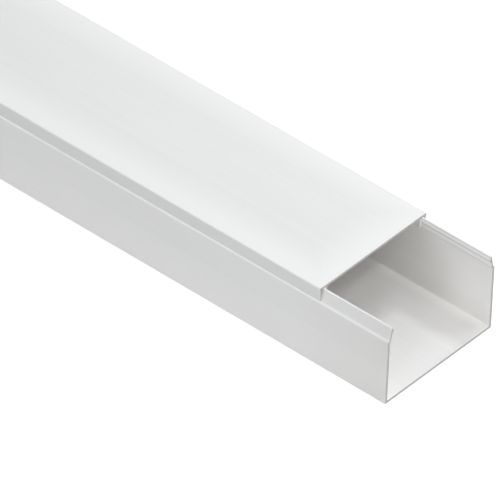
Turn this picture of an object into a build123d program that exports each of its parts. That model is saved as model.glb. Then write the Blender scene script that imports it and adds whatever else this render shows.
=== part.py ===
from build123d import *
import os

# Rigid PVC cable trunking: a U-shaped base channel whose lips lean inwards, and a lid that
# snaps over them and slides along them. +X runs along the trunking to its front end, +Z is up,
# and the origin is the middle of the channel's flat back face. All sizes are in millimetres.

# The closed trunking
length = 1000.0
width = 100.0
height = 60.0
lid_setback = 55.0  # the lid's front edge lies this far behind the channel's front end
clearance = 0.25  # sideways room between lid and channel wherever they pass each other

# Base channel
wall = 1.9
floor = 1.9
back_radius = 0.5
floor_fillet = 0.8
shoulder_rise = 1.4
joggle_drop = 0.6  # the bends on the inside lie this far below the ones outside
bend_radius = 0.3
lip = 1.3
lip_lean = 1.55  # from the lip's foot to its top
lip_radius = 0.25
bead_set = 0.6  # from the lip's top to where the bead starts
bead_drop = 3.2  # from the lip's top to the bead's tip
bead_proud = 0.8
bead_undercut = 0.9
bead_radius = 0.25

# Snap lid
plate = 1.6
edge_radius = 0.8
skirt_depth = 10.5
skirt_root = 1.5
skirt_tip = 0.65
skirt_toe_in = 0.65
shoulder_gap = 0.85  # from the skirt's tip down to the shoulder's outer edge
rib = 1.4
rib_tip = 0.8
rib_fillet = 0.25
hook_play = 0.4
barb_land = 0.3
barb_ramp = 2.4
barb_radius = 0.12

# Heights and places that the two sections share
half = width / 2
seat_z = height - plate  # the lid's plate rests on the tops of the lips
skirt_z = height - skirt_depth
shoulder_z = skirt_z - shoulder_gap
foot_z = shoulder_z + shoulder_rise
foot_y = half - skirt_toe_in - skirt_tip - clearance
skirt_radius = skirt_tip / 3

# The skirt's tip is bevelled parallel to the shoulder
bevel_z = skirt_z + skirt_tip * shoulder_rise / (half - foot_y)


def lip_outside(z):
    return foot_y - lip_lean * (z - foot_z) / (seat_z - foot_z)


def lip_inside(z):
    return lip_outside(z) - lip


bead_z = seat_z - bead_drop
bead_y = lip_inside(bead_z) - bead_proud
undercut_z = bead_z - bead_undercut
undercut_y = lip_inside(undercut_z)

# The hook's face lies below the bead's underside and runs parallel to it
hook_slope = (undercut_z - bead_z) / (undercut_y - bead_y)
rib_outside = bead_y - clearance
rib_inside = rib_outside - rib
barb_y = undercut_y - clearance
hook_root_z = bead_z + hook_slope * (rib_outside - bead_y) - hook_play
hook_tip_z = bead_z + hook_slope * (barb_y - bead_y) - hook_play
barb_z = hook_tip_z - barb_land
rib_z = barb_z - barb_ramp


def section(corners):
    # Closed outline from the corners (y, z, radius) of one side and their mirror images
    outline = corners + [(-y, z, radius) for y, z, radius in reversed(corners)]
    points = [(y, z) for y, z, radius in outline]
    radii = [radius for y, z, radius in outline]
    return make_face(FilletPolyline(*points, radius=radii, close=True))


def extrusion(corners, front):
    # One length of the stock, sawn square, with its front end at x = front
    return extrude(Plane.YZ.offset(front - length) * section(corners), length)


# Up the outside to the lip's top, then down the inside over the bead to the floor
joggle_z = foot_z - joggle_drop
channel_corners = [
    (half, 0, back_radius),
    (half, shoulder_z, bend_radius),
    (foot_y, foot_z, bend_radius),
    (lip_outside(seat_z), seat_z, lip_radius),
    (lip_inside(seat_z), seat_z, lip_radius),
    (lip_inside(seat_z - bead_set), seat_z - bead_set, 0),
    (bead_y, bead_z, bead_radius),
    (undercut_y, undercut_z, bead_radius),
    (lip_inside(joggle_z), joggle_z, bend_radius),
    (half - wall, shoulder_z - joggle_drop, bend_radius),
    (half - wall, floor, floor_fillet),
]

# Down the skirt and up its inside, then round the barbed rib to the plate's underside
lid_corners = [
    (half, height, edge_radius),
    (half - skirt_toe_in, skirt_z, skirt_radius),
    (half - skirt_toe_in - skirt_tip, bevel_z, skirt_radius),
    (half - skirt_root, seat_z, rib_fillet),
    (rib_outside, seat_z, rib_fillet),
    (rib_outside, hook_root_z, barb_radius),
    (barb_y, hook_tip_z, barb_radius),
    (barb_y, barb_z, barb_radius),
    (rib_inside + rib_tip, rib_z, barb_radius),
    (rib_inside, rib_z, barb_radius),
    (rib_inside, seat_z, rib_fillet),
]

channel_front = length / 2
base_channel = extrusion(channel_corners, channel_front)
snap_lid = extrusion(lid_corners, channel_front - lid_setback)

os.makedirs("parts", exist_ok=True)
export_step(base_channel, "parts/base_channel.step")
export_step(snap_lid, "parts/snap_lid.step")
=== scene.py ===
import math

import bpy
from mathutils import Matrix, Vector


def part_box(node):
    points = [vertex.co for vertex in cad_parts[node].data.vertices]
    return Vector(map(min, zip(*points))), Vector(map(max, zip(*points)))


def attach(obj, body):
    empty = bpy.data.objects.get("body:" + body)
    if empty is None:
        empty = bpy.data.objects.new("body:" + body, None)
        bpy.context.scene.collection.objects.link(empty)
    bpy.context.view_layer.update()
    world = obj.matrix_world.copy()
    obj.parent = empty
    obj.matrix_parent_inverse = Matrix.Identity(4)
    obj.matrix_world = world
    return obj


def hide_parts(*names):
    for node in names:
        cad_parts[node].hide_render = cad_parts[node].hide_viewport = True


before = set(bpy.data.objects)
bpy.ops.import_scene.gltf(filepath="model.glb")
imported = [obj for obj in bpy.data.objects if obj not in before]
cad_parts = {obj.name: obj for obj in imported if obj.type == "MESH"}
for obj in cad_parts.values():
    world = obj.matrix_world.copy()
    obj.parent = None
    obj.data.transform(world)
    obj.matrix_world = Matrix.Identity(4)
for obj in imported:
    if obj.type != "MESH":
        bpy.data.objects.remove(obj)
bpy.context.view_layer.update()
mm = 0.001
print("frame loaded:", sorted(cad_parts))

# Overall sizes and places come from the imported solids, in mm
channelLow, channelHigh = (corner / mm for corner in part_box("base_channel"))
lidLow, lidHigh = (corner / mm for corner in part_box("snap_lid"))
halfWidth = channelHigh.y
seatZ = channelHigh.z  # the lid's plate rests on the lips' tops here
lidTopZ = lidHigh.z

# The snap fit that both sections share, in mm
snapFit = {
    "clearance": 0.25,
    "skirtDepth": 10.5,
    "skirtTip": 0.65,
    "skirtToeIn": 0.65,
    "shoulderGap": 0.85,
    "shoulderRise": 1.4,
    "lip": 1.3,
    "lipLean": 1.55,
    "beadDrop": 3.2,
    "beadProud": 0.8,
    "beadUndercut": 0.9,
}
skirtZ = lidTopZ - snapFit["skirtDepth"]
shoulderZ = skirtZ - snapFit["shoulderGap"]
footZ = shoulderZ + snapFit["shoulderRise"]
footY = halfWidth - snapFit["skirtToeIn"] - snapFit["skirtTip"] - snapFit["clearance"]


def lipOutside(z):
    return footY - snapFit["lipLean"] * (z - footZ) / (seatZ - footZ)


def lipInside(z):
    return lipOutside(z) - snapFit["lip"]


beadZ = seatZ - snapFit["beadDrop"]
beadY = lipInside(beadZ) - snapFit["beadProud"]
undercutZ = beadZ - snapFit["beadUndercut"]
undercutY = lipInside(undercutZ)


# Colours and nodes
def linear(hexColour, alpha=1.0):
    channels = [int(hexColour[i:i + 2], 16) / 255 for i in (1, 3, 5)]
    return [c / 12.92 if c <= 0.04045 else ((c + 0.055) / 1.055) ** 2.4 for c in channels] + [alpha]


def addNode(tree, kind, settings=None, inputs=None, links=None):
    # settings are the node's own, inputs are plain values, links are (socket, node, output)
    node = tree.nodes.new(kind)
    for name, value in (settings or {}).items():
        setattr(node, name, value)
    for name, value in (inputs or {}).items():
        node.inputs[name].default_value = value
    for name, source, output in links or []:
        tree.links.new(source.outputs[output], node.inputs[name])
    return node


def newMaterial(name):
    material = bpy.data.materials.new(name)
    material.use_nodes = True
    material.node_tree.nodes.clear()
    return material, material.node_tree


# Settings that several nodes share
total = {"operation": "ADD"}
product = {"operation": "MULTIPLY"}
larger = {"operation": "MAXIMUM"}
absolute = {"operation": "ABSOLUTE"}
lessThan = {"operation": "LESS_THAN"}
ofColours = {"data_type": "RGBA"}
smooth = {"interpolation_type": "SMOOTHSTEP"}

# Painted light and shade on the channel's walls: tone, side, the heights in mm between which
# the mark is full, and how far it fades out below and above them
inner, outer = 1, -1
creaseDrop = 0.75  # mm from the lips' tops to the crease above each bead
creaseZ = seatZ - creaseDrop
paintedWallShading = {
    # painted highlight: the bead's upper face is drawn lighter
    "paintedHighlightOnBead": ("#fdfbf8", inner, (beadZ, creaseZ), (0.1, 0.1)),
    # painted light: the lip's inside below the bead is drawn lighter
    "paintedLightOnLip": ("#fdfbf8", inner, (shoulderZ + 1.0, undercutZ - 1.0), (0.4, 0.4)),
    # painted shade: a dark line in the crease above the bead
    "paintedShadeInCrease": ("#e6e3de", inner, (creaseZ - 0.15, creaseZ + 0.15), (0.3, 0.3)),
    # painted shadow: a dark band just under the bead
    "paintedShadowUnderBead": ("#dad7d2", inner, (undercutZ - 0.6, undercutZ + 0.4), (0.8, 0.8)),
    # painted shade: a dark line below the step from the lip's inside to the wall
    "paintedShadeAtLipFoot": ("#dad7d2", inner, (shoulderZ - 0.3, shoulderZ + 0.5), (0.5, 0.5)),
    # painted shade: the walls' insides are drawn darker near the floor
    "paintedShadeAtWallFoot": ("#edeae6", inner, (2.3, 5.0), (0.3, 13.0)),
    # painted highlight: the outer shoulder is drawn lighter
    "paintedHighlightOnShoulder": ("#faf8f5", outer, (shoulderZ + 0.1, footZ - 0.4), (0.15, 0.15)),
    # painted shade: the outer wall is drawn darker towards its top
    "paintedShadeOnUpperWall": ("#eeebe7", outer, (46.0, shoulderZ - 0.2), (22.0, 0.2)),
    # painted light: the outer wall is drawn lighter towards its bottom
    "paintedLightOnLowerWall": ("#f8f5f1", outer, (-0.5, 5.0), (0.5, 22.0)),
}
sideBlur = 0.2  # mm each way, inside the wall, where its two sides meet


# Each mask is 1 where its mark is full and 0 where there is none
def wallBand(tree, place, side, full, fade):
    low, high = full
    outside = lipOutside(high) if high > shoulderZ else halfWidth
    middle = outside - snapFit["lip"] / 2
    off = addNode(tree, "ShaderNodeMath", absolute, links=[(0, place, "Y")])
    within = addNode(tree, "ShaderNodeMapRange",
                     inputs={"From Min": (middle + side * sideBlur) * mm,
                             "From Max": (middle - side * sideBlur) * mm},
                     links=[("Value", off, 0)])
    rise = addNode(tree, "ShaderNodeMapRange",
                   inputs={"From Min": (low - fade[0]) * mm, "From Max": low * mm},
                   links=[("Value", place, "Z")])
    fall = addNode(tree, "ShaderNodeMapRange",
                   inputs={"From Min": (high + fade[1]) * mm, "From Max": high * mm},
                   links=[("Value", place, "Z")])
    band = addNode(tree, "ShaderNodeMath", product, links=[(0, rise, 0), (1, fall, 0)])
    return addNode(tree, "ShaderNodeMath", product, links=[(0, within, 0), (1, band, 0)])


# Painted light: the channel's floor is drawn lighter beside the walls
paintedLightOnFloor = {
    "tone": "#faf7f3",
    "start": 41.0,  # mm from the middle line
    "full": 47.0,
    "fadeZ": (2.0, 2.3),  # over the floor's fillets
}


def floorStrip(tree, place):
    low, high = paintedLightOnFloor["fadeZ"]
    off = addNode(tree, "ShaderNodeMath", absolute, links=[(0, place, "Y")])
    beside = addNode(tree, "ShaderNodeMapRange",
                     inputs={"From Min": paintedLightOnFloor["start"] * mm, "From Max": paintedLightOnFloor["full"] * mm},
                     links=[("Value", off, 0)])
    onFloor = addNode(tree, "ShaderNodeMapRange", inputs={"From Min": high * mm, "From Max": low * mm},
                      links=[("Value", place, "Z")])
    return addNode(tree, "ShaderNodeMath", product, links=[(0, beside, 0), (1, onFloor, 0)])


# Painted shade: the channel's outer faces are drawn darker towards the front end
paintedShadeAtFront = {
    "tone": "#f6f5f4",  # multiplies the tones below it
    "reach": 75.0,  # mm
}


def paintedFrontShade(tree, place):
    front = channelHigh.x
    outward = addNode(tree, "ShaderNodeAttribute", {"attribute_name": "outward"})
    near = addNode(tree, "ShaderNodeMapRange",
                   inputs={"From Min": (front - paintedShadeAtFront["reach"]) * mm, "From Max": front * mm},
                   links=[("Value", place, "X")])
    return addNode(tree, "ShaderNodeMath", product, links=[(0, outward, "Fac"), (1, near, 0)])


# Painted light: the lid is drawn lighter along the edges of its top and at its front end
paintedLightOnLid = {
    "tone": "#f0ede9",
    "start": 18.0,  # mm from the middle line
    "full": 50.0,
    "frontReach": 34.0,
    "edgeDepth": 1.2,  # down the rounded edge
}


def edgeMargin(tree, place):
    front = lidHigh.x
    off = addNode(tree, "ShaderNodeMath", absolute, links=[(0, place, "Y")])
    beside = addNode(tree, "ShaderNodeMapRange", smooth,
                     {"From Min": paintedLightOnLid["start"] * mm, "From Max": paintedLightOnLid["full"] * mm},
                     [("Value", off, 0)])
    ahead = addNode(tree, "ShaderNodeMapRange", smooth,
                    {"From Min": (front - paintedLightOnLid["frontReach"]) * mm, "From Max": front * mm},
                    [("Value", place, "X")])
    margin = addNode(tree, "ShaderNodeMath", larger, links=[(0, beside, 0), (1, ahead, 0)])
    onTop = addNode(tree, "ShaderNodeMapRange", smooth,
                    {"From Min": (lidTopZ - paintedLightOnLid["edgeDepth"]) * mm, "From Max": lidTopZ * mm},
                    [("Value", place, "Z")])
    return addNode(tree, "ShaderNodeMath", product, links=[(0, margin, 0), (1, onTop, 0)])


# The painted light and shade of each piece, from the bottom one up, as (tone, blend, mask)
def channelPaintedShading(tree, place):
    marks = [(paintedLightOnFloor["tone"], "MIX", floorStrip(tree, place))]
    for tone, side, full, fade in paintedWallShading.values():
        marks.append((tone, "MIX", wallBand(tree, place, side, full, fade)))
    marks.append((paintedShadeAtFront["tone"], "MULTIPLY", paintedFrontShade(tree, place)))
    return marks


def lidPaintedShading(tree, place):
    return [(paintedLightOnLid["tone"], "MIX", edgeMargin(tree, place))]


# Extruded rigid PVC: the die leaves a satin skin with faint lines along the length,
# slow changes of tone and gloss, and here and there a dark speck in the white
pvcSkin = {
    "channelTones": ("#f4f1ed", "#f0edea"),  # the clear white and its duller stretches
    # painted shade: the lid's tones are drawn darker than the channel's
    "lidTones": ("#e8e5e1", "#e4e1de"),
    "toneRange": (0.6, 1.4),  # clouds and die lines added up, from dull to clear
    "roughness": (0.36, 0.46),
    "ior": 1.53,
    "dieLine": 3.0,  # spacing in mm, drawn coarse enough to show
    "dieLineLength": 700.0,
    "dieLineHeight": 0.004,
    "dieLineDetail": 3.0,
    "cloud": 45.0,  # mm across
    "cloudLength": 112.5,
    "cloudDetail": 4.0,
    "speck": "#dcdad6",
    "speckCell": 24.0,  # mm, with one speck at most
    "speckSize": 0.35,
    "speckShare": 0.16,  # of the cells
}


def scaledNoise(tree, unrolled, lengthMm, acrossMm, detail):
    scale = (1 / (lengthMm * mm), 1 / (acrossMm * mm), 1)
    scaled = addNode(tree, "ShaderNodeMapping", inputs={"Scale": scale},
                     links=[("Vector", unrolled, 0)])
    return addNode(tree, "ShaderNodeTexNoise", {"noise_dimensions": "2D"},
                   {"Scale": 1.0, "Detail": detail}, [("Vector", scaled, 0)])


def extrudedPvc(name, tones, piecePaintedShading):
    s = pvcSkin
    clearTone, dullTone = s[tones]
    dullLevel, clearLevel = s["toneRange"]
    glossy, matt = s["roughness"]
    material, tree = newMaterial(name)
    coordinates = addNode(tree, "ShaderNodeTexCoord")
    place = addNode(tree, "ShaderNodeSeparateXYZ", links=[("Vector", coordinates, "Object")])
    # length along X, and the way round the section as Y plus Z, so that walls and floor share it
    across = addNode(tree, "ShaderNodeMath", total, links=[(0, place, "Y"), (1, place, "Z")])
    unrolled = addNode(tree, "ShaderNodeCombineXYZ", links=[("X", place, "X"), ("Y", across, 0)])

    dieLines = scaledNoise(tree, unrolled, s["dieLineLength"], s["dieLine"], s["dieLineDetail"])
    clouds = scaledNoise(tree, unrolled, s["cloudLength"], s["cloud"], s["cloudDetail"])
    both = addNode(tree, "ShaderNodeMath", total, links=[(0, clouds, "Fac"), (1, dieLines, "Fac")])
    share = addNode(tree, "ShaderNodeMapRange", inputs={"From Min": dullLevel, "From Max": clearLevel},
                    links=[("Value", both, 0)])
    colour = addNode(tree, "ShaderNodeMix", ofColours,
                     {"A": linear(dullTone), "B": linear(clearTone)}, [("Factor", share, 0)])

    # one speck to a cell at most, and only in a share of the cells
    cells = addNode(tree, "ShaderNodeTexVoronoi", {"voronoi_dimensions": "2D"},
                    {"Scale": 1 / (s["speckCell"] * mm)}, [("Vector", unrolled, 0)])
    near = addNode(tree, "ShaderNodeMath", lessThan, {1: s["speckSize"] / s["speckCell"]},
                   [(0, cells, "Distance")])
    lot = addNode(tree, "ShaderNodeSeparateColor", links=[("Color", cells, "Color")])
    chosen = addNode(tree, "ShaderNodeMath", lessThan, {1: s["speckShare"]}, [(0, lot, "Red")])
    speck = addNode(tree, "ShaderNodeMath", product, links=[(0, near, 0), (1, chosen, 0)])

    # the piece's painted light and shade go over the clouds and die lines, and the specks over them
    for tone, blend, mask in piecePaintedShading(tree, place) + [(s["speck"], "MIX", speck)]:
        colour = addNode(tree, "ShaderNodeMix", {"data_type": "RGBA", "blend_type": blend},
                         {"B": linear(tone)}, [("Factor", mask, 0), ("A", colour, "Result")])
    gloss = addNode(tree, "ShaderNodeMapRange", inputs={"To Min": glossy, "To Max": matt},
                    links=[("Value", dieLines, "Fac")])
    bump = addNode(tree, "ShaderNodeBump",
                   inputs={"Distance": s["dieLineHeight"] * mm, "Strength": 1.0},
                   links=[("Height", dieLines, "Fac")])
    skin = addNode(tree, "ShaderNodeBsdfPrincipled", inputs={"IOR": s["ior"]},
                   links=[("Base Color", colour, "Result"), ("Roughness", gloss, 0),
                          ("Normal", bump, 0)])
    addNode(tree, "ShaderNodeOutputMaterial", links=[("Surface", skin, 0)])
    return material


# Sawn PVC: the blade leaves the cut ends dull and a little grey, with fine parallel marks
sawnEnd = {
    "channelTones": ("#b7b2ae", "#a19c97"),  # clean and dull
    "lidTones": ("#b8b3af", "#a4a09b"),
    "skirts": "#c6c2be",  # painted light: the cut ends of the lid's skirts and ribs are drawn lighter
    "ribs": "#dfdbd7",
    "ribsWithin": 47.3,  # mm from the middle line
    "plateFade": 0.5,  # mm below the plate
    "roughness": 0.62,
    "ior": 1.53,
    "mark": 0.7,  # spacing of the blade's marks in mm
    "markLength": 8.4,
    "markHeight": 0.03,
    "markDetail": 3.0,
    "markTilt": 24.0,  # degrees from upright
}


def sawnPvc(name, tones, plateZ=None):
    s = sawnEnd
    cleanTone, dullTone = s[tones]
    material, tree = newMaterial(name)
    coordinates = addNode(tree, "ShaderNodeTexCoord")
    turned = addNode(tree, "ShaderNodeMapping", {"vector_type": "TEXTURE"},
                     {"Rotation": (math.radians(s["markTilt"]), 0, 0),
                      "Scale": (mm, s["mark"] * mm, s["markLength"] * mm)},
                     [("Vector", coordinates, "Object")])
    marks = addNode(tree, "ShaderNodeTexNoise", inputs={"Scale": 1.0, "Detail": s["markDetail"]},
                    links=[("Vector", turned, 0)])
    colour = addNode(tree, "ShaderNodeMix", ofColours,
                     {"A": linear(dullTone), "B": linear(cleanTone)}, [("Factor", marks, "Fac")])
    if plateZ is not None:
        place = addNode(tree, "ShaderNodeSeparateXYZ", links=[("Vector", coordinates, "Object")])
        below = addNode(tree, "ShaderNodeMapRange",
                        inputs={"From Min": plateZ * mm, "From Max": (plateZ - s["plateFade"]) * mm},
                        links=[("Value", place, "Z")])
        off = addNode(tree, "ShaderNodeMath", absolute, links=[(0, place, "Y")])
        isRib = addNode(tree, "ShaderNodeMath", lessThan, {1: s["ribsWithin"] * mm}, [(0, off, 0)])
        # painted light on the cut ends of the skirts and ribs, below the plate
        paintedLightOnEnds = addNode(tree, "ShaderNodeMix", ofColours,
                       {"A": linear(s["skirts"]), "B": linear(s["ribs"])}, [("Factor", isRib, 0)])
        colour = addNode(tree, "ShaderNodeMix", ofColours,
                         links=[("Factor", below, 0), ("A", colour, "Result"), ("B", paintedLightOnEnds, "Result")])
    bump = addNode(tree, "ShaderNodeBump", inputs={"Distance": s["markHeight"] * mm, "Strength": 1.0},
                   links=[("Height", marks, "Fac")])
    skin = addNode(tree, "ShaderNodeBsdfPrincipled",
                   inputs={"IOR": s["ior"], "Roughness": s["roughness"]},
                   links=[("Base Color", colour, "Result"), ("Normal", bump, 0)])
    addNode(tree, "ShaderNodeOutputMaterial", links=[("Surface", skin, 0)])
    return material


channelPvc = extrudedPvc("extrudedPvcChannel", "channelTones", channelPaintedShading)
lidPvc = extrudedPvc("extrudedPvcLid", "lidTones", lidPaintedShading)
sawnChannel = sawnPvc("sawnPvcChannel", "channelTones")
sawnLid = sawnPvc("sawnPvcLid", "lidTones", plateZ=seatZ)
print("materials made:", channelPvc.name, lidPvc.name, sawnChannel.name, sawnLid.name)

# Extrusion: one tree makes both pieces. It rounds the section's corners and draws it along the length
extrusion = {
    "stepsPerBend": 8,
    "endFacing": 0.9,  # a face whose normal lies this much along X is a sawn end
    "areaWeight": 100,  # the highest, so that flat faces stay evenly shaded beside the bends
}


def extrusionTree():
    tree = bpy.data.node_groups.new("extrudedSection", "GeometryNodeTree")
    tree.is_modifier = True
    face = tree.interface
    face.new_socket("Section", in_out="INPUT", socket_type="NodeSocketGeometry")
    for name in ("Front", "Length"):
        face.new_socket(name, in_out="INPUT", socket_type="NodeSocketFloat")
    face.new_socket("Steps Per Bend", in_out="INPUT", socket_type="NodeSocketInt")
    for name in ("Skin", "Sawn End"):
        face.new_socket(name, in_out="INPUT", socket_type="NodeSocketMaterial")
    face.new_socket("Extrusion", in_out="OUTPUT", socket_type="NodeSocketGeometry")

    given = addNode(tree, "NodeGroupInput")
    outline = addNode(tree, "GeometryNodeMeshToCurve", links=[("Mesh", given, "Section")])
    bend = addNode(tree, "GeometryNodeInputNamedAttribute", {"data_type": "FLOAT"}, {"Name": "bend"})
    rounded = addNode(tree, "GeometryNodeFilletCurve", {"mode": "POLY"}, {"Limit Radius": True},
                      [("Curve", outline, 0), ("Radius", bend, "Attribute"),
                       ("Count", given, "Steps Per Bend")])
    back = addNode(tree, "ShaderNodeMath", {"operation": "SUBTRACT"},
                   links=[(0, given, "Front"), (1, given, "Length")])
    start = addNode(tree, "ShaderNodeCombineXYZ", links=[("X", given, "Front")])
    end = addNode(tree, "ShaderNodeCombineXYZ", links=[("X", back, 0)])
    path = addNode(tree, "GeometryNodeCurvePrimitiveLine", links=[("Start", start, 0), ("End", end, 0)])
    drawn = addNode(tree, "GeometryNodeCurveToMesh", inputs={"Fill Caps": True},
                    links=[("Curve", path, 0), ("Profile Curve", rounded, 0)])

    # outward is 1 on faces that look away from the middle line and 0 on those that look to it
    normal = addNode(tree, "GeometryNodeInputNormal")
    facing = addNode(tree, "ShaderNodeSeparateXYZ", links=[("Vector", normal, 0)])
    position = addNode(tree, "GeometryNodeInputPosition")
    place = addNode(tree, "ShaderNodeSeparateXYZ", links=[("Vector", position, 0)])
    side = addNode(tree, "ShaderNodeMath", {"operation": "SIGN"}, links=[(0, place, "Y")])
    outward = addNode(tree, "ShaderNodeMath", {"operation": "MULTIPLY", "use_clamp": True},
                      links=[(0, facing, "Y"), (1, side, 0)])
    marked = addNode(tree, "GeometryNodeStoreNamedAttribute", {"data_type": "FLOAT", "domain": "FACE"},
                     {"Name": "outward"}, [("Geometry", drawn, 0), ("Value", outward, 0)])
    along = addNode(tree, "ShaderNodeMath", absolute, links=[(0, facing, "X")])
    isEnd = addNode(tree, "ShaderNodeMath", {"operation": "GREATER_THAN"}, {1: extrusion["endFacing"]},
                    [(0, along, 0)])

    real = addNode(tree, "GeometryNodeRealizeInstances", links=[("Geometry", marked, 0)])
    skinned = addNode(tree, "GeometryNodeSetMaterial",
                      links=[("Geometry", real, 0), ("Material", given, "Skin")])
    sawn = addNode(tree, "GeometryNodeSetMaterial",
                   links=[("Geometry", skinned, 0), ("Selection", isEnd, 0),
                          ("Material", given, "Sawn End")])
    addNode(tree, "NodeGroupOutput", links=[("Extrusion", sawn, 0)])
    return tree


sectionTree = extrusionTree()


def extrudeSection(name, corners, low, high, skin, sawn):
    # corners are (y, z, bend radius) round one side in mm; the mirror image closes the outline
    outline = [(-y, z, radius) for y, z, radius in corners] + corners[::-1]
    loop = bpy.data.meshes.new(name + "Section")
    # drawn with Z turned down, as the sweep along -X lays the profile's Y that way up
    loop.from_pydata([(y * mm, -z * mm, 0) for y, z, radius in outline],
                     [(i, (i + 1) % len(outline)) for i in range(len(outline))], [])
    bend = loop.attributes.new("bend", "FLOAT", "POINT")
    bend.data.foreach_set("value", [radius * mm for y, z, radius in outline])
    piece = bpy.data.objects.new(name, loop)
    bpy.context.scene.collection.objects.link(piece)

    sweep = piece.modifiers.new("extrudedSection", "NODES")
    sweep.node_group = sectionTree
    values = {
        "Front": high.x * mm,
        "Length": (high.x - low.x) * mm,
        "Steps Per Bend": extrusion["stepsPerBend"],
        "Skin": skin,
        "Sawn End": sawn,
    }
    for socket in sectionTree.interface.items_tree:
        if socket.name in values:
            sweep[socket.identifier] = values[socket.name]
    even = piece.modifiers.new("evenShading", "WEIGHTED_NORMAL")
    even.mode = "FACE_AREA"
    even.weight = extrusion["areaWeight"]
    even.keep_sharp = True

    evaluated = piece.evaluated_get(bpy.context.evaluated_depsgraph_get())
    solid = bpy.data.meshes.new_from_object(evaluated)
    solid.name = name
    piece.modifiers.clear()
    piece.data = solid
    bpy.data.meshes.remove(loop)
    print(name, "extruded:", len(solid.polygons), "faces")
    return piece


# Base channel, sizes in mm
channelSizes = {
    "wall": 1.9,
    "floor": 1.9,
    "backRadius": 0.5,
    "floorFillet": 0.8,
    "joggleDrop": 0.6,
    "bendRadius": 0.3,
    "lipRadius": 0.25,
    "beadSet": 0.6,
    "beadRadius": 0.25,
}


def channelCorners():
    s = channelSizes
    innerY = halfWidth - s["wall"]
    joggleZ = footZ - s["joggleDrop"]
    beadStartZ = seatZ - s["beadSet"]
    return [
        (halfWidth, 0, s["backRadius"]),
        (halfWidth, shoulderZ, s["bendRadius"]),
        (footY, footZ, s["bendRadius"]),
        (lipOutside(seatZ), seatZ, s["lipRadius"]),
        (lipInside(seatZ), seatZ, s["lipRadius"]),
        (lipInside(beadStartZ), beadStartZ, 0),
        (beadY, beadZ, s["beadRadius"]),
        (undercutY, undercutZ, s["beadRadius"]),
        (lipInside(joggleZ), joggleZ, s["bendRadius"]),
        (innerY, shoulderZ - s["joggleDrop"], s["bendRadius"]),
        (innerY, s["floor"], s["floorFillet"]),
    ]


channel = extrudeSection("baseChannelPvc", channelCorners(), channelLow, channelHigh,
                         channelPvc, sawnChannel)
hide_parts("base_channel")
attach(channel, "channel")

# Snap lid, sizes in mm
lidSizes = {
    "edgeRadius": 0.8,
    "skirtRoot": 1.5,
    "rib": 1.4,
    "ribTip": 0.8,
    "ribFillet": 0.25,
    "hookPlay": 0.4,
    "barbLand": 0.3,
    "barbRamp": 2.4,
    "barbRadius": 0.12,
}


def lidCorners():
    s = lidSizes
    clearance, tip, toeIn = snapFit["clearance"], snapFit["skirtTip"], snapFit["skirtToeIn"]
    # the hook's face lies under the bead's, parallel to it
    slope = (undercutZ - beadZ) / (undercutY - beadY)
    ribOutside = beadY - clearance
    ribInside = ribOutside - s["rib"]
    barbY = undercutY - clearance
    hookRootZ = beadZ + slope * (ribOutside - beadY) - s["hookPlay"]
    hookTipZ = beadZ + slope * (barbY - beadY) - s["hookPlay"]
    barbZ = hookTipZ - s["barbLand"]
    ribZ = barbZ - s["barbRamp"]
    # the skirt's tip is bevelled parallel to the shoulder
    bevelZ = skirtZ + tip * snapFit["shoulderRise"] / (halfWidth - footY)
    tipRadius = tip / 3
    return [
        (ribInside, seatZ, s["ribFillet"]),
        (ribInside, ribZ, s["barbRadius"]),
        (ribInside + s["ribTip"], ribZ, s["barbRadius"]),
        (barbY, barbZ, s["barbRadius"]),
        (barbY, hookTipZ, s["barbRadius"]),
        (ribOutside, hookRootZ, s["barbRadius"]),
        (ribOutside, seatZ, s["ribFillet"]),
        (halfWidth - s["skirtRoot"], seatZ, s["ribFillet"]),
        (halfWidth - toeIn - tip, bevelZ, tipRadius),
        (halfWidth - toeIn, skirtZ, tipRadius),
        (halfWidth, lidTopZ, s["edgeRadius"]),
    ]


lid = extrudeSection("snapLidPvc", lidCorners(), lidLow, lidHigh, lidPvc, sawnLid)
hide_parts("snap_lid")
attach(lid, "lid")

# Studio: a pale floor that keeps the shadow and is lifted to white further out, a white sky that
# shows but gives no light, and softboxes all round
studio = {
    "floorSize": 80.0,  # m
    "floor": "#f2f2f2",
    "floorLift": (0.36, 1.0),  # by the object, and away from it
    "liftStart": 0.7,  # m from the object's middle
    "liftEnd": 2.2,
    "lampDistance": 2.5,
    "lampColour": "#f7fbff",
    "aimBack": 0.1,  # the lamps aim at the open end, this far behind its front in m
    "aimHeight": 0.03,
}
# degrees round from +X, degrees up, watts, width in m
softboxes = {
    "farFrontSoftbox": (60, 22, 23.8, 1.4),
    "farRearSoftbox": (120, 38, 11.1, 1.4),
    "nearRearSoftbox": (240, 38, 9.7, 1.4),
    "nearSoftbox": (270, 54, 11.9, 1.4),
    "frontLamp": (350, 20, 18.0, 0.4),
    "frontTopLamp": (340, 58, 11.3, 0.4),
    "farTopLamp": (90, 66, 13.3, 0.4),
    "topLamp": (45, 74, 4.3, 0.4),
    "lowNearLamp": (290, 10, 5.5, 0.4),
}


def seenDirectly(tree):
    # 1 for the camera and for what shows in gloss or glass, 0 for light on the object
    ray = addNode(tree, "ShaderNodeLightPath")
    first = addNode(tree, "ShaderNodeMath", larger,
                    links=[(0, ray, "Is Camera Ray"), (1, ray, "Is Glossy Ray")])
    return addNode(tree, "ShaderNodeMath", larger,
                   links=[(0, first, 0), (1, ray, "Is Transmission Ray")])


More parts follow.
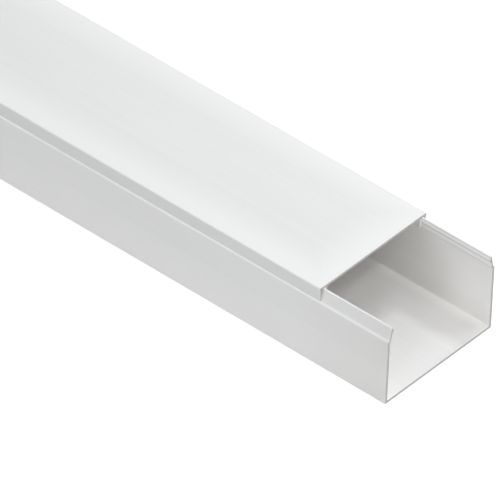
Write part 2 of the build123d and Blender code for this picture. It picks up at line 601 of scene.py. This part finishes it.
def studioFloor():
    material, tree = newMaterial("paleStudioFloor")
    liftNear, liftFar = studio["floorLift"]
    matt = addNode(tree, "ShaderNodeBsdfDiffuse", inputs={"Color": linear(studio["floor"])})
    coordinates = addNode(tree, "ShaderNodeTexCoord")
    away = addNode(tree, "ShaderNodeVectorMath", {"operation": "LENGTH"},
                   links=[(0, coordinates, "Object")])
    level = addNode(tree, "ShaderNodeMapRange", smooth,
                    {"From Min": studio["liftStart"], "From Max": studio["liftEnd"],
                     "To Min": liftNear, "To Max": liftFar}, [("Value", away, "Value")])
    lift = addNode(tree, "ShaderNodeMath", product, links=[(0, seenDirectly(tree), 0), (1, level, 0)])
    glow = addNode(tree, "ShaderNodeEmission", links=[("Strength", lift, 0)])
    both = addNode(tree, "ShaderNodeAddShader", links=[(0, matt, 0), (1, glow, 0)])
    addNode(tree, "ShaderNodeOutputMaterial", links=[("Surface", both, 0)])
    half = studio["floorSize"] / 2
    corners = [(-half, -half, 0), (half, -half, 0), (half, half, 0), (-half, half, 0)]
    sheet = bpy.data.meshes.new("studioFloor")
    sheet.from_pydata(corners, [], [(0, 1, 2, 3)])
    sheet.materials.append(material)
    floor = bpy.data.objects.new("studioFloor", sheet)
    bpy.context.scene.collection.objects.link(floor)


def studioSky():
    world = bpy.data.worlds.new("studioSky")
    world.use_nodes = True
    tree = world.node_tree
    tree.nodes.clear()
    white = addNode(tree, "ShaderNodeBackground", inputs={"Color": linear("#ffffff")},
                    links=[("Strength", seenDirectly(tree), 0)])
    addNode(tree, "ShaderNodeOutputWorld", links=[("Surface", white, 0)])
    bpy.context.scene.world = world


frontX = channelHigh.x * mm
openEnd = Vector((frontX - studio["aimBack"], 0, studio["aimHeight"]))


def softbox(name, azimuth, elevation, power, size):
    lamp = bpy.data.lights.new(name, "AREA")
    lamp.shape = "SQUARE"
    lamp.size = size
    lamp.energy = power
    lamp.color = linear(studio["lampColour"])[:3]
    a, e = math.radians(azimuth), math.radians(elevation)
    away = Vector((math.cos(a) * math.cos(e), math.sin(a) * math.cos(e), math.sin(e)))
    box = bpy.data.objects.new(name, lamp)
    box.location = openEnd + studio["lampDistance"] * away
    box.rotation_euler = away.to_track_quat("Z", "Y").to_euler()
    box.visible_camera = False
    bpy.context.scene.collection.objects.link(box)


studioFloor()
studioSky()
for name, (azimuth, elevation, power, size) in softboxes.items():
    softbox(name, azimuth, elevation, power, size)
print("studio lit:", len(softboxes), "lamps")

# Camera: a long lens that looks down on the open end from the right-hand side
cameraFit = {
    "azimuth": 39.356,
    "elevation": 39.851,
    "roll": 2.469,
    "lens": 1000.0,  # mm
    "sensor": 36.0,
    "pixelsPerMm": 1.6399,  # at the channel's front end
    "imageSize": 500,
    "frontEnd": (438.2, 365.7),  # pixel of the middle of the front end's bottom edge
}


def photoCamera():
    f = cameraFit
    a, e, r = (math.radians(f[k]) for k in ("azimuth", "elevation", "roll"))
    back = Vector((math.sin(a) * math.cos(e), -math.cos(a) * math.cos(e), math.sin(e)))
    level = Vector((math.cos(a), math.sin(a), 0))
    upright = back.cross(level)
    right = math.cos(r) * level + math.sin(r) * upright
    up = back.cross(right)
    distance = f["lens"] / f["sensor"] * f["imageSize"] / f["pixelsPerMm"] * mm
    middle = f["imageSize"] / 2
    offX, offY = ((pixel - middle) / f["pixelsPerMm"] * mm for pixel in f["frontEnd"])
    place = Vector((frontX, 0, 0)) + back * distance - right * offX + up * offY
    lens = bpy.data.cameras.new("photoCamera")
    lens.lens = f["lens"]
    lens.sensor_width = f["sensor"]
    camera = bpy.data.objects.new("photoCamera", lens)
    camera.matrix_world = Matrix.Translation(place) @ Matrix((right, up, back)).transposed().to_4x4()
    bpy.context.scene.collection.objects.link(camera)
    bpy.context.scene.camera = camera


photoCamera()
bpy.context.scene.view_settings.view_transform = "Standard"
print("camera set")
